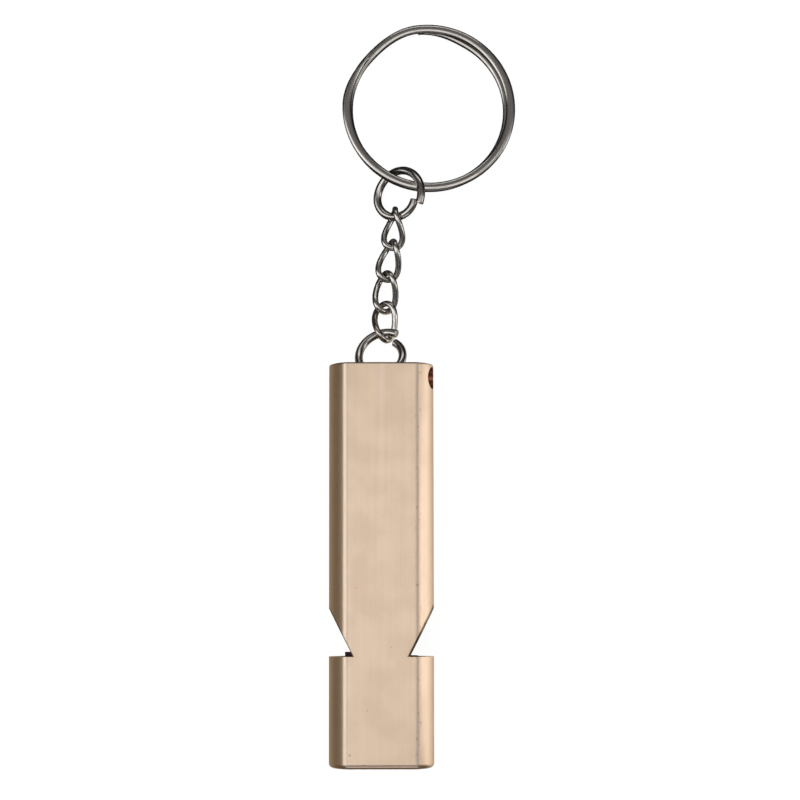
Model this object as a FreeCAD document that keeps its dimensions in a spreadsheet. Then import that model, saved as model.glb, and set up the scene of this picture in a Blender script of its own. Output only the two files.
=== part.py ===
"""Two-note survival whistle on a short twisted chain with a split key ring.

The whistle lies on its flat back. X runs across it, Y from the mouthpiece to the key ring, and Z up.
The origin is in the middle of the flat back. All lengths are in millimetres and all angles in degrees.
"""
import FreeCAD, Part

import math
import os

import Sketcher

Vector = FreeCAD.Vector
Rotation = FreeCAD.Rotation

X_AXIS = Vector(1, 0, 0)
Y_AXIS = Vector(0, 1, 0)
Z_AXIS = Vector(0, 0, 1)

# Driving dimensions. Each is a cell of the sheet, read back by name.
SIZES = {
    # whistle body
    "body_length": 46.0,
    "body_width": 12.0,
    "body_thickness": 8.0,
    "side_bulge": 1.85,
    "side_wall": 1.1,
    "web_thickness": 0.8,
    "tail_bevel": 0.2,
    "mouth_bevel": 0.5,
    "bore_bevel": 0.15,
    # V notches and windways
    "notch_from_mouth": 12.6,
    "notch_depth": 2.8,
    "notch_ramp": 5.5,
    "notch_overrun": 1.0,
    "windway_height": 0.75,
    "plug_proud_left": 0.5,
    "plug_proud_right": 0.1,
    "plug_clearance": 0.01,
    # stoppers that close the two chambers, each pressed in from the tail
    "stopper_length": 3.0,
    "tail_pocket_left": 4.4,
    "tail_pocket_right": 8.4,
    # hole for the ring, drilled from the right side through the web
    "ring_hole_diameter": 2.5,
    "ring_hole_from_tail": 1.6,
    "ring_hole_rise": 1.3,
    "ring_rest_offset": 0.48,
    # the two open jump rings
    "jump_ring_outer": 6.42,
    "jump_wire": 0.94,
    "jump_side_count": 12,
    "body_ring_spread": 0.26,
    "upper_ring_spread": 0.4,
    # twisted chain links
    "link_length": 5.26,
    "link_width": 3.06,
    "link_wire": 0.7,
    "link_twist_angle": 45.0,
    "link_side_count": 8,
    "link_station_count": 24,
    "chain_clearance": 0.09,
    "first_link_slack": 0.15,
    # split key ring, two turns of half-flat wire with rounded edges
    "key_ring_outer": 20.3,
    "key_wire_width": 1.05,
    "key_wire_thickness": 0.58,
    "key_edge_width": 0.24,
    "key_edge_height": 0.18,
    "key_turn_gap": 0.06,
    "key_turn_step": 0.27,
    "key_turn_shift": 0.2,
    "key_crossover_angle": 40.0,
    "key_end_gap_angle": 3.0,
    "key_station_count": 36,
    "key_ring_slack": 0.34,
}

FULL_TURN = 360
HALF_TURN = 180
SAME_PLACE = 1e-4

# How the chain lies at rest. Heading turns from +Y towards +X, pitch lifts the far end, and roll turns
# the piece about its own long axis.
RING_REST_ANGLE = -46.0
BODY_RING_POSE = (1.2, -29.7, -14.3)
BODY_RING_OPENING = -1.0
BODY_RING_ENDS = (3.0, 3.0)
BODY_RING_GAP_AT = 57.0
BODY_RING_WEB_AT = 270.0
BODY_RING_LINK_AT = 88.5
LINK_POSES = ((-0.4, -16.6, 7.0), (3.7, -1.9, -14.0), (10.8, 3.8, -29.0), (4.0, 2.6, -46.0))
UPPER_RING_POSE = (-1.9, -7.0, -29.0)
UPPER_RING_OPENING = -7.0
UPPER_RING_ENDS = (-11.0, -1.8)
UPPER_RING_GAP_AT = -15.0
UPPER_RING_LINK_AT = 263.0
UPPER_RING_KEY_AT = 72.0
KEY_RING_HEADING = 20.2
KEY_RING_ROLL = 0.0
KEY_RING_END_AT = 160.0

doc = FreeCAD.newDocument("whistle")
sheet = doc.addObject("Spreadsheet::Sheet", "Sizes")
for row, (alias, value) in enumerate(SIZES.items(), start=1):
    sheet.set(f"A{row}", alias)
    sheet.set(f"B{row}", str(value))
    sheet.setAlias(f"B{row}", alias)
doc.recompute()


def size(alias):
    """Return a driving dimension from the sheet as a plain number."""
    return float(sheet.get(alias))


def origin_plane(body, role):
    """Return one of the body's own origin planes, such as XZ_Plane."""
    return next(f for f in body.Origin.OriginFeatures if f.Role == role)


def new_body(name):
    """Add an empty PartDesign body whose label is the piece's name."""
    body = doc.addObject("PartDesign::Body", name)
    body.Label = name
    return body


def new_sketch(body, name, role):
    """Add a sketch on one of the body's origin planes."""
    sketch = body.newObject("Sketcher::SketchObject", name)
    sketch.AttachmentSupport = (origin_plane(body, role), "")
    sketch.MapMode = "FlatFace"
    return sketch


def bind(sketch, kind, arguments, name, expression):
    """Add a named dimension to a sketch and bind it to the sheet."""
    index = sketch.addConstraint(Sketcher.Constraint(kind, *arguments))
    sketch.renameConstraint(index, name)
    sketch.setExpression(f"Constraints.{name}", expression)


def through_both_ways(feature):
    """Let a pocket run through everything on both sides of its sketch."""
    feature.Type = "ThroughAll"
    feature.Midplane = True


def bore_diameter():
    """Diameter of each bore, which leaves the side walls and the web between the two."""
    return (size("body_width") - 2 * size("side_wall") - size("web_thickness")) / 2


def bore_spacing():
    """Distance between the two bores' centre lines."""
    return bore_diameter() + size("web_thickness")


BORE = "((Sizes.body_width - 2 * Sizes.side_wall - Sizes.web_thickness) / 2)"


def whistle_body():
    """Extruded body with two round bores, two V notches and a hole drilled through the web."""
    body = new_body("whistle_body")
    half_width = size("body_width") / 2
    thick = size("body_thickness")
    rise = size("side_bulge")
    half_flat = half_width - rise
    side_radius = ((thick / 2) ** 2 + rise ** 2) / (2 * rise)
    side_centre = half_width - side_radius
    side_angle = math.asin(thick / 2 / side_radius)

    outline = new_sketch(body, "body_outline", "XZ_Plane")
    outline.addGeometry(Part.LineSegment(Vector(-half_flat, thick, 0), Vector(half_flat, thick, 0)))
    outline.addGeometry(Part.ArcOfCircle(
        Part.Circle(Vector(side_centre, thick / 2, 0), Z_AXIS, side_radius), -side_angle, side_angle))
    outline.addGeometry(Part.LineSegment(Vector(half_flat, 0, 0), Vector(-half_flat, 0, 0)))
    outline.addGeometry(Part.ArcOfCircle(
        Part.Circle(Vector(-side_centre, thick / 2, 0), Z_AXIS, side_radius),
        math.pi - side_angle, math.pi + side_angle))
    outline.addConstraint([
        Sketcher.Constraint("Coincident", 0, 2, 1, 2),
        Sketcher.Constraint("Coincident", 1, 1, 2, 1),
        Sketcher.Constraint("Coincident", 2, 2, 3, 2),
        Sketcher.Constraint("Coincident", 3, 1, 0, 1),
        Sketcher.Constraint("PointOnObject", 2, 1, -1),
        Sketcher.Constraint("Symmetric", 0, 1, 0, 2, -2),
        Sketcher.Constraint("Symmetric", 2, 1, 2, 2, -2),
        Sketcher.Constraint("Equal", 0, 2),
        Sketcher.Constraint("Equal", 1, 3),
    ])
    bind(outline, "DistanceX", (0, 1, 0, 2, 2 * half_flat), "flat_width",
         "Sizes.body_width - 2 * Sizes.side_bulge")
    bind(outline, "DistanceY", (-1, 1, 0, 2, thick), "thickness", "Sizes.body_thickness")
    bind(outline, "Radius", (1, side_radius), "side_radius",
         "(Sizes.body_thickness ^ 2 / 4 + Sizes.side_bulge ^ 2) / (2 * Sizes.side_bulge)")
    extrusion = body.newObject("PartDesign::Pad", "body_extrusion")
    extrusion.Profile = outline
    extrusion.Midplane = True
    extrusion.setExpression("Length", "Sizes.body_length")

    bores = new_sketch(body, "bore_circles", "XZ_Plane")
    for index, side in enumerate((-1, 1)):
        centre = Vector(side * bore_spacing() / 2, thick / 2, 0)
        bores.addGeometry(Part.Circle(centre, Z_AXIS, bore_diameter() / 2))
        bind(bores, "Radius", (index, bore_diameter() / 2), f"bore_radius_{index}", f"{BORE} / 2")
    bores.addConstraint(Sketcher.Constraint("Symmetric", 0, 3, 1, 3, -2))
    bind(bores, "DistanceY", (-1, 1, 0, 3, thick / 2), "bore_height", "Sizes.body_thickness / 2")
    bind(bores, "DistanceX", (0, 3, 1, 3, bore_spacing()), "bore_spacing", f"{BORE} + Sizes.web_thickness")
    bore_pocket = body.newObject("PartDesign::Pocket", "bores")
    bore_pocket.Profile = bores
    through_both_ways(bore_pocket)

    wall_y = size("notch_from_mouth") - size("body_length") / 2
    tip_x = half_width - size("notch_depth")
    out_x = half_width + size("notch_overrun")
    ramp_y = wall_y + size("notch_ramp") * (out_x - tip_x) / size("notch_depth")
    notch = new_sketch(body, "notch_outline", "XY_Plane")
    corners = [Vector(tip_x, wall_y, 0), Vector(out_x, wall_y, 0), Vector(out_x, ramp_y, 0)]
    for index in range(3):
        notch.addGeometry(Part.LineSegment(corners[index], corners[(index + 1) % 3]))
    for index in range(3):
        notch.addConstraint(Sketcher.Constraint("Coincident", index, 2, (index + 1) % 3, 1))
    notch.addConstraint([Sketcher.Constraint("Horizontal", 0), Sketcher.Constraint("Vertical", 1)])
    bind(notch, "DistanceX", (-1, 1, 0, 1, tip_x), "tip_place", "Sizes.body_width / 2 - Sizes.notch_depth")
    bind(notch, "DistanceY", (0, 1, -1, 1, -wall_y), "wall_place",
         "Sizes.body_length / 2 - Sizes.notch_from_mouth")
    bind(notch, "DistanceX", (0, 1, 0, 2, out_x - tip_x), "cut_width",
         "Sizes.notch_depth + Sizes.notch_overrun")
    bind(notch, "DistanceY", (1, 1, 1, 2, ramp_y - wall_y), "cut_length",
         "Sizes.notch_ramp * (Sizes.notch_depth + Sizes.notch_overrun) / Sizes.notch_depth")
    notch_pocket = body.newObject("PartDesign::Pocket", "notch_right")
    notch_pocket.Profile = notch
    through_both_ways(notch_pocket)
    both_notches = body.newObject("PartDesign::Mirrored", "notch_left")
    both_notches.Originals = [notch_pocket]
    both_notches.MirrorPlane = (origin_plane(body, "YZ_Plane"), [""])
    body.Tip = both_notches

    # the hole's sketch stands in the left bore, so the hole runs through the web and the right side only
    ring_hole = new_sketch(body, "ring_hole_circle", "YZ_Plane")
    ring_hole.setExpression("AttachmentOffset.Base.z", f"-({BORE} + Sizes.web_thickness) / 2")
    hole = hole_centre()
    ring_hole.addGeometry(Part.Circle(Vector(hole.y, hole.z, 0), Z_AXIS, size("ring_hole_diameter") / 2))
    bind(ring_hole, "Radius", (0, size("ring_hole_diameter") / 2), "hole_radius",
         "Sizes.ring_hole_diameter / 2")
    bind(ring_hole, "DistanceX", (-1, 1, 0, 3, hole.y), "hole_place",
         "Sizes.body_length / 2 - Sizes.ring_hole_from_tail")
    bind(ring_hole, "DistanceY", (-1, 1, 0, 3, hole.z), "hole_height",
         "Sizes.body_thickness / 2 + Sizes.ring_hole_rise")
    hole_pocket = body.newObject("PartDesign::Pocket", "ring_hole")
    hole_pocket.Profile = ring_hole
    hole_pocket.Type = "ThroughAll"
    hole_pocket.Reversed = True
    doc.recompute()

    bevel_end(body, "tail_edge", 1, False, "tail_bevel")
    bevel_end(body, "mouth_edge", -1, False, "mouth_bevel")
    bevel_end(body, "bore_edges", 1, True, "bore_bevel")
    return body


def bevel_end(body, name, end, bore_edges, alias):
    """Bevel either the outer edge or the bore edges at one end of the body."""
    base = body.Tip
    end_y = end * size("body_length") / 2
    bore_radius = bore_diameter() / 2
    chosen = []
    for index, edge in enumerate(base.Shape.Edges, start=1):
        box = edge.BoundBox
        at_end = abs(box.YMin - end_y) < SAME_PLACE and abs(box.YMax - end_y) < SAME_PLACE
        is_bore = isinstance(edge.Curve, Part.Circle) and abs(edge.Curve.Radius - bore_radius) < SAME_PLACE
        if at_end and is_bore == bore_edges:
            chosen.append(f"Edge{index}")
    feature = body.newObject("PartDesign::Chamfer", name)
    feature.Base = (base, chosen)
    feature.setExpression("Size", f"Sizes.{alias}")
    body.Tip = feature
    doc.recompute()


def hole_centre():
    """Centre of the ring's hole, where it passes the web between the bores."""
    return Vector(0, size("body_length") / 2 - size("ring_hole_from_tail"),
                  size("body_thickness") / 2 + size("ring_hole_rise"))


def windway_plug(name, side, proud_alias):
    """Plug that fills a bore at the mouthpiece but for the flat that leaves the windway."""
    length = f"Sizes.notch_from_mouth + Sizes.{proud_alias}"
    rod = doc.addObject("Part::Cylinder", f"{name}_rod")
    rod.setExpression("Radius", f"{BORE} / 2 - Sizes.plug_clearance")
    rod.setExpression("Height", length)
    rod.Placement = FreeCAD.Placement(Vector(0, 0, 0), Rotation(X_AXIS, -90))
    window = doc.addObject("Part::Box", f"{name}_window")
    window.setExpression("Length", BORE)
    window.setExpression("Height", BORE)
    window.setExpression("Width", length)
    window.setExpression("Placement.Base.x", f"{BORE} / 2 - Sizes.windway_height")
    window.setExpression("Placement.Base.z", f"-{BORE} / 2")
    plug = doc.addObject("Part::Cut", name)
    plug.Label = name
    plug.Base = rod
    plug.Tool = window
    turn = Rotation(Z_AXIS, 0) if side > 0 else Rotation(Y_AXIS, 180)
    place = Vector(side * bore_spacing() / 2, -size("body_length") / 2, size("body_thickness") / 2)
    plug.Placement = FreeCAD.Placement(place, turn)
    return plug


def stopper(name, side, pocket_alias):
    """Disc that closes one sounding chamber, some way in from the tail."""
    disc = doc.addObject("Part::Cylinder", name)
    disc.Label = name
    disc.setExpression("Radius", f"{BORE} / 2 - Sizes.plug_clearance")
    disc.setExpression("Height", "Sizes.stopper_length")
    start_y = size("body_length") / 2 - size(pocket_alias) - size("stopper_length")
    place = Vector(side * bore_spacing() / 2, start_y, size("body_thickness") / 2)
    disc.Placement = FreeCAD.Placement(place, Rotation(X_AXIS, -90))
    return disc


def jump_ring_radius():
    """Mean radius of an open ring's centre line."""
    return (size("jump_ring_outer") - size("jump_wire")) / 2


def jump_ring(name, opening, ends, spread_alias):
    """Open ring of round wire, drawn with flats, whose ends have been twisted and bent past each other.

    Each half is turned by the opening about the tangent line opposite the gap, which is how such a ring
    is opened and closed. The first half is wider by the spread and the second one tighter. The gap faces
    +X, and each end stops at its own angle from there, past the middle where the angle is negative.
    """
    hinge = Vector(-jump_ring_radius(), 0, 0)
    halves = []
    for label, sign, end in (("first", 1, ends[0]), ("second", -1, ends[1])):
        section = doc.addObject("Part::RegularPolygon", f"{name}_{label}_section")
        section.setExpression("Polygon", "Sizes.jump_side_count")
        section.setExpression("Circumradius", "Sizes.jump_wire / 2")
        # the section starts opposite the gap and is turned back so that the two halves meet face to face
        section.Placement = FreeCAD.Placement(hinge, Rotation(Y_AXIS, -sign * opening) * Rotation(X_AXIS, 90))
        half = doc.addObject("Part::Revolution", f"{name}_{label}_half")
        half.Source = section
        half.Axis = Z_AXIS * -sign
        half.Base = X_AXIS * sign * size(spread_alias)
        half.Angle = HALF_TURN - end
        half.Solid = True
        half.Placement = FreeCAD.Placement(Vector(0, 0, 0), Rotation(Y_AXIS, sign * opening), hinge)
        halves.append(half)
    ring = doc.addObject("Part::Fuse", name)
    ring.Label = name
    ring.Base, ring.Tool = halves
    return ring


def jump_ring_point(opening, spread, gap_at, angle):
    """Point of a jump ring's centre line, at an angle in its own plane with the gap turned to gap_at."""
    from_gap = (angle - gap_at) % FULL_TURN
    sign = 1 if from_gap < HALF_TURN else -1
    turn = math.radians(from_gap)
    hinge = Vector(-jump_ring_radius(), 0, 0)
    radius = jump_ring_radius() + sign * spread
    from_hinge = Vector(radius + radius * math.cos(turn), radius * math.sin(turn), 0)
    opened = Rotation(Y_AXIS, sign * opening).multVec(from_hinge) + hinge
    return Rotation(Z_AXIS, gap_at).multVec(opened)


def link_half_length():
    """Half of the link's centre line along its length."""
    return (size("link_length") - size("link_wire")) / 2


def link_section(turn):
    """Section of a twisted link at one station of its centre line."""
    half_length = link_half_length()
    half_width = (size("link_width") - size("link_wire")) / 2
    lift = half_width / 2 * math.tan(math.radians(size("link_twist_angle")))
    centre = Vector(half_width * math.cos(turn), half_length * math.sin(turn), lift * math.sin(2 * turn))
    along = Vector(-half_width * math.sin(turn), half_length * math.cos(turn),
                   2 * lift * math.cos(2 * turn)).normalize()
    outward = Vector(centre)
    outward = (outward - along * outward.dot(along)).normalize()
    across = along.cross(outward)
    sides = int(size("link_side_count"))
    radius = size("link_wire") / 2
    corners = []
    for index in range(sides):
        corner = 2 * math.pi * (index + 0.5) / sides
        corners.append(centre + outward * (radius * math.cos(corner)) + across * (radius * math.sin(corner)))
    return Part.makePolygon(corners + corners[:1])


def chain_link(name):
    """Closed oval link, twisted so that its two ends stand across each other."""
    stations = int(size("link_station_count"))
    sections = [link_section(2 * math.pi * index / stations) for index in range(stations)]
    link = doc.addObject("Part::Feature", name)
    link.Label = name
    link.Shape = Part.makeLoft(sections, True, False, True)
    return link


def key_ring_radius():
    """Mean radius of the split ring's two turns."""
    return (size("key_ring_outer") - size("key_wire_width") - size("key_turn_step")) / 2


def key_ring_thickness():
    """Thickness of the two turns together."""
    return 2 * size("key_wire_thickness") + size("key_turn_gap")


def key_ring_section(turn):
    """Section of the wire after turn degrees, from the upper end to the lower one.

    The wire stays level for most of each turn. It steps down and in at the crossover between the turns,
    and the lower turn also lies a little nearer the whistle than the upper one.
    """
    crossover = size("key_crossover_angle")
    progress = min(max((turn - (FULL_TURN - crossover)) / crossover, 0), 1)
    step = progress * progress * (3 - 2 * progress)
    drop = size("key_wire_thickness") + size("key_turn_gap")
    radius = key_ring_radius() + size("key_turn_step") * (0.5 - step)
    centre = Rotation(Z_AXIS, -KEY_RING_END_AT).multVec(Y_AXIS * (-step * size("key_turn_shift")))
    centre.z = drop * (0.5 - step)
    direction = Rotation(Z_AXIS, turn).multVec(X_AXIS)
    half_width = size("key_wire_width") / 2
    half_thick = size("key_wire_thickness") / 2
    flat = half_width - size("key_edge_width")
    side = half_thick - size("key_edge_height")
    profile = ((half_width, side), (flat, half_thick), (-flat, half_thick), (-half_width, side),
               (-half_width, -side), (-flat, -half_thick), (flat, -half_thick), (half_width, -side))
    corners = [centre + direction * (radius + out) + Z_AXIS * up for out, up in profile]
    return Part.makePolygon(corners + corners[:1])


def split_key_ring(name):
    """Two turns of wire with a crossover, its ends just short of the crossover."""
    end = 2 * FULL_TURN - size("key_crossover_angle") - size("key_end_gap_angle")
    stations = int(2 * size("key_station_count"))
    sections = [key_ring_section(end * index / stations) for index in range(stations + 1)]
    ring = doc.addObject("Part::Feature", name)
    ring.Label = name
    ring.Shape = Part.makeLoft(sections, True, True, False)
    return ring


def pose(heading, pitch, roll):
    """Rotation of a piece of the chain from its heading, pitch and roll."""
    return Rotation(Z_AXIS, -heading) * Rotation(X_AXIS, pitch) * Rotation(Y_AXIS, roll)


def place_chain(body_ring, links, upper_ring, key_ring):
    """Hang each piece of the chain on the one before it, wire to wire with the chain's clearance."""
    wire_to_ring = (size("jump_wire") + size("link_wire")) / 2 + size("chain_clearance")
    wire_to_wire = size("link_wire") + size("chain_clearance")
    joints = {}

    turn = pose(*BODY_RING_POSE)
    rest = math.radians(RING_REST_ANGLE)
    in_web = hole_centre() + Vector(0, math.cos(rest), math.sin(rest)) * size("ring_rest_offset")
    form = (BODY_RING_OPENING, size("body_ring_spread"), BODY_RING_GAP_AT)
    base = in_web - turn.multVec(jump_ring_point(*form, BODY_RING_WEB_AT))
    body_ring.Placement = FreeCAD.Placement(base, turn * Rotation(Z_AXIS, BODY_RING_GAP_AT))
    joints[body_ring.Label] = (in_web, turn.multVec(X_AXIS))
    carrier = base + turn.multVec(jump_ring_point(*form, BODY_RING_LINK_AT))
    wire_axis = turn.multVec(Rotation(Z_AXIS, BODY_RING_LINK_AT).multVec(Y_AXIS))

    half_length = link_half_length()
    twist = Rotation(Y_AXIS, -size("link_twist_angle"))
    spacing = wire_to_ring
    last_axis = None
    for link, angles in zip(links, LINK_POSES):
        turn = pose(*angles)
        axis = turn.multVec(Y_AXIS)
        pull = axis if last_axis is None else (axis + last_axis).normalize()
        base = carrier - pull * spacing + axis * half_length
        link.Placement = FreeCAD.Placement(base, turn)
        joints[link.Label] = (Vector(carrier), Vector(wire_axis))
        carrier = base + axis * half_length
        wire_axis = (turn * twist).multVec(X_AXIS)
        # the first link isn't pulled tight against the next one
        spacing = wire_to_wire + (size("first_link_slack") if last_axis is None else 0)
        last_axis = axis

    turn = pose(*UPPER_RING_POSE)
    joints[upper_ring.Label] = (Vector(carrier), Vector(wire_axis))
    form = (UPPER_RING_OPENING, size("upper_ring_spread"), UPPER_RING_GAP_AT)
    base = carrier - last_axis * wire_to_ring - turn.multVec(jump_ring_point(*form, UPPER_RING_LINK_AT))
    upper_ring.Placement = FreeCAD.Placement(base, turn * Rotation(Z_AXIS, UPPER_RING_GAP_AT))
    carrier = base + turn.multVec(jump_ring_point(*form, UPPER_RING_KEY_AT))
    wire_axis = turn.multVec(Rotation(Z_AXIS, UPPER_RING_KEY_AT).multVec(Y_AXIS))

    to_band = (size("jump_wire") + size("key_wire_width")) / 2 + size("chain_clearance") \
        + size("key_ring_slack")
    reach = 2 * key_ring_radius() + size("key_wire_width") / 2
    # the far side of the key ring lies on the table and its near side leans on the jump ring
    pitch = -math.degrees(math.asin((carrier.z - key_ring_thickness() / 2) / (reach - to_band)))
    turn = pose(KEY_RING_HEADING, pitch, KEY_RING_ROLL)
    axis = turn.multVec(Y_AXIS)
    base = carrier + axis * (key_ring_radius() - to_band)
    key_ring.Placement = FreeCAD.Placement(base, turn * Rotation(Z_AXIS, KEY_RING_END_AT))
    joints[key_ring.Label] = (Vector(carrier), Vector(wire_axis))
    return joints


def write_parts(pieces):
    """Check every object and piece, then write each piece to its own file."""
    doc.recompute()
    for item in doc.Objects:
        faults = [state for state in item.State if state in ("Invalid", "Error")]
        if faults:
            raise RuntimeError(f"{item.Label}: {faults}")
    for piece in pieces:
        if piece.Shape.isNull() or not piece.Shape.isValid() or len(piece.Shape.Solids) != 1:
            raise RuntimeError(f"{piece.Label} is not one valid solid")
    os.makedirs("parts", exist_ok=True)
    for piece in pieces:
        piece.Shape.exportStep(f"parts/{piece.Label}.step")
        print(piece.Label, round(piece.Shape.Volume, 3), "mm3")


whistle = whistle_body()
plugs = [windway_plug("windway_plug_left", -1, "plug_proud_left"),
         windway_plug("windway_plug_right", 1, "plug_proud_right")]
stoppers = [stopper("stopper_left", -1, "tail_pocket_left"), stopper("stopper_right", 1, "tail_pocket_right")]
lower_jump_ring = jump_ring("body_jump_ring", BODY_RING_OPENING, BODY_RING_ENDS, "body_ring_spread")
chain = [chain_link(f"chain_link_{number}") for number in range(1, 5)]
upper_jump_ring = jump_ring("ring_jump_ring", UPPER_RING_OPENING, UPPER_RING_ENDS, "upper_ring_spread")
split_ring = split_key_ring("split_key_ring")
doc.recompute()
JOINTS = place_chain(lower_jump_ring, chain, upper_jump_ring, split_ring)
write_parts([whistle, *plugs, *stoppers, lower_jump_ring, *chain, upper_jump_ring, split_ring])
for piece_name, (point, axis) in JOINTS.items():
    print(piece_name, "pivot", [round(value, 3) for value in point], "axis", [round(v, 4) for v in axis])
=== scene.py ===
"""Survival whistle on a short twisted chain with a split key ring, dressed for a studio picture.

The frame is the whistle's own: X across it, Y from the mouthpiece to the key ring, Z out of the flat front,
with the origin in the middle of the flat back. Blender works in metres. Sizes are written in millimetres, as
on a drawing, and are turned into metres where a mesh is made.
"""
import logging
import math
from dataclasses import dataclass, field
from enum import Enum

import bmesh
import bpy
from mathutils import Matrix, Quaternion, Vector


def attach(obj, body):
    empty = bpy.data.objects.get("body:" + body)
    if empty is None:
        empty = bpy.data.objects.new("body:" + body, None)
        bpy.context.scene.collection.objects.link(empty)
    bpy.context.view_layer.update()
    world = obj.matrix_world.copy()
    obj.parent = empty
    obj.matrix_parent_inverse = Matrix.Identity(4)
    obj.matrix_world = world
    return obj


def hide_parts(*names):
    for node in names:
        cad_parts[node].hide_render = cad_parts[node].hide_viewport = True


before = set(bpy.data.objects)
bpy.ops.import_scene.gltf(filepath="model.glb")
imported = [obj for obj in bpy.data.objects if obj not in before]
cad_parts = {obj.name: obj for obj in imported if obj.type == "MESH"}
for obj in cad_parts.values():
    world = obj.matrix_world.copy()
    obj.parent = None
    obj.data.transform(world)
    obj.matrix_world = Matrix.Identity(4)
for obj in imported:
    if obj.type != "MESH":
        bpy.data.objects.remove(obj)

MM = 0.001
LOG = logging.getLogger("whistle")
Colour = tuple[float, float, float, float]
# where a mask is 0, and where it is 1
Span = tuple[float, float]


# Shader building


class Graph:
    """Adds nodes to one shader tree and wires them together."""

    def __init__(self, tree: bpy.types.NodeTree) -> None:
        """Keep the tree that the nodes go into.

        Args:
            tree: A material's, the world's or a group's node tree.
        """
        self.tree = tree

    def add(self, kind: str, sockets: dict | None = None, **settings: object) -> bpy.types.Node:
        """Add a node and fill its inputs.

        Args:
            kind: The node's type, such as ShaderNodeTexNoise.
            sockets: Input name or number to a value, or to the output socket that feeds it.
            settings: The node's own settings.

        Returns:
            The new node.
        """
        node = self.tree.nodes.new(kind)
        for name, value in settings.items():
            setattr(node, name, value)
        for name, value in (sockets or {}).items():
            if isinstance(value, bpy.types.NodeSocket):
                self.link(value, node.inputs[name])
            else:
                node.inputs[name].default_value = value
        return node

    def link(self, source: bpy.types.NodeSocket, target: bpy.types.NodeSocket) -> None:
        """Wire an output to an input.

        Args:
            source: The output socket.
            target: The input socket.
        """
        self.tree.links.new(source, target)

    def math(self, operation: str, first: object, second: object = 0.0,
             third: object = 0.0) -> bpy.types.NodeSocket:
        """Add a Math node.

        Args:
            operation: The Math node's operation, such as MAXIMUM.
            first: A number or an output socket.
            second: A number or an output socket.
            third: A number or an output socket, for operations with three inputs.

        Returns:
            The node's output socket.
        """
        return self.add("ShaderNodeMath", {0: first, 1: second, 2: third}, operation=operation).outputs[0]

    def times(self, first: object, second: object) -> bpy.types.NodeSocket:
        """Multiply two values.

        Args:
            first: A number or an output socket.
            second: A number or an output socket.

        Returns:
            The product's output socket.
        """
        return self.math("MULTIPLY", first, second)

    def ramp(self, value: bpy.types.NodeSocket, limits: Span) -> bpy.types.NodeSocket:
        """Turn a value into a mask that eases from 0 to 1.

        Args:
            value: The value to map.
            limits: Where the mask is 0, and where it is 1.

        Returns:
            The mask's output socket.
        """
        return self.add("ShaderNodeMapRange", {"Value": value, "From Min": limits[0], "From Max": limits[1]},
                        interpolation_type="SMOOTHSTEP").outputs[0]

    def zone(self, value: bpy.types.NodeSocket, limits: Span) -> bpy.types.NodeSocket:
        """Turn a length in metres into a mask.

        Args:
            value: The length.
            limits: Where the mask is 0, and where it is 1, in millimetres.

        Returns:
            The mask's output socket.
        """
        return self.ramp(value, (limits[0] * MM, limits[1] * MM))

    def mix(self, factor: object, first: object, second: object) -> bpy.types.NodeSocket:
        """Mix two colours.

        Args:
            factor: How much of the second colour is used.
            first: A colour or an output socket.
            second: A colour or an output socket.

        Returns:
            The mixed colour's output socket.
        """
        return self.add("ShaderNodeMix", {0: factor, 6: first, 7: second}, data_type="RGBA").outputs[2]

    def vector(self, operation: str, first: object, second: object) -> bpy.types.Node:
        """Add a Vector Math node.

        Args:
            operation: The node's operation, such as DISTANCE.
            first: A vector or an output socket.
            second: A vector or an output socket.

        Returns:
            The node.
        """
        return self.add("ShaderNodeVectorMath", {0: first, 1: second}, operation=operation)

    def axes(self, place: bpy.types.NodeSocket) -> tuple[bpy.types.NodeSocket, ...]:
        """Split a position into its axes.

        Args:
            place: The position.

        Returns:
            The sockets of its X, Y and Z.
        """
        return tuple(self.add("ShaderNodeSeparateXYZ", {0: place}).outputs)

    def bump(self, height: bpy.types.NodeSocket, strength: float, depth: float) -> bpy.types.NodeSocket:
        """Turn a height into a normal.

        Args:
            height: The relief, from 0 to 1.
            strength: How much of it shows.
            depth: Its depth in millimetres.

        Returns:
            The normal's output socket.
        """
        return self.add("ShaderNodeBump", {"Strength": strength, "Distance": depth * MM,
                                           "Height": height}).outputs[0]


def new_group(name: str, inputs: dict[str, float],
              outputs: tuple[str, ...]) -> tuple[Graph, bpy.types.Node, bpy.types.Node]:
    """Make an empty shader group with a Vector and some numbers as inputs, and numbers as outputs.

    Args:
        name: The group's name.
        inputs: Each number input's name to its default value.
        outputs: The outputs' names.

    Returns:
        The group's graph, its input node and its output node.
    """
    tree = bpy.data.node_groups.new(name, "ShaderNodeTree")
    tree.interface.new_socket(name="Vector", in_out="INPUT", socket_type="NodeSocketVector")
    for label, value in inputs.items():
        socket = tree.interface.new_socket(name=label, in_out="INPUT", socket_type="NodeSocketFloat")
        socket.default_value = value
    for label in outputs:
        tree.interface.new_socket(name=label, in_out="OUTPUT", socket_type="NodeSocketFloat")
    graph = Graph(tree)
    return graph, graph.add("NodeGroupInput"), graph.add("NodeGroupOutput")


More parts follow.
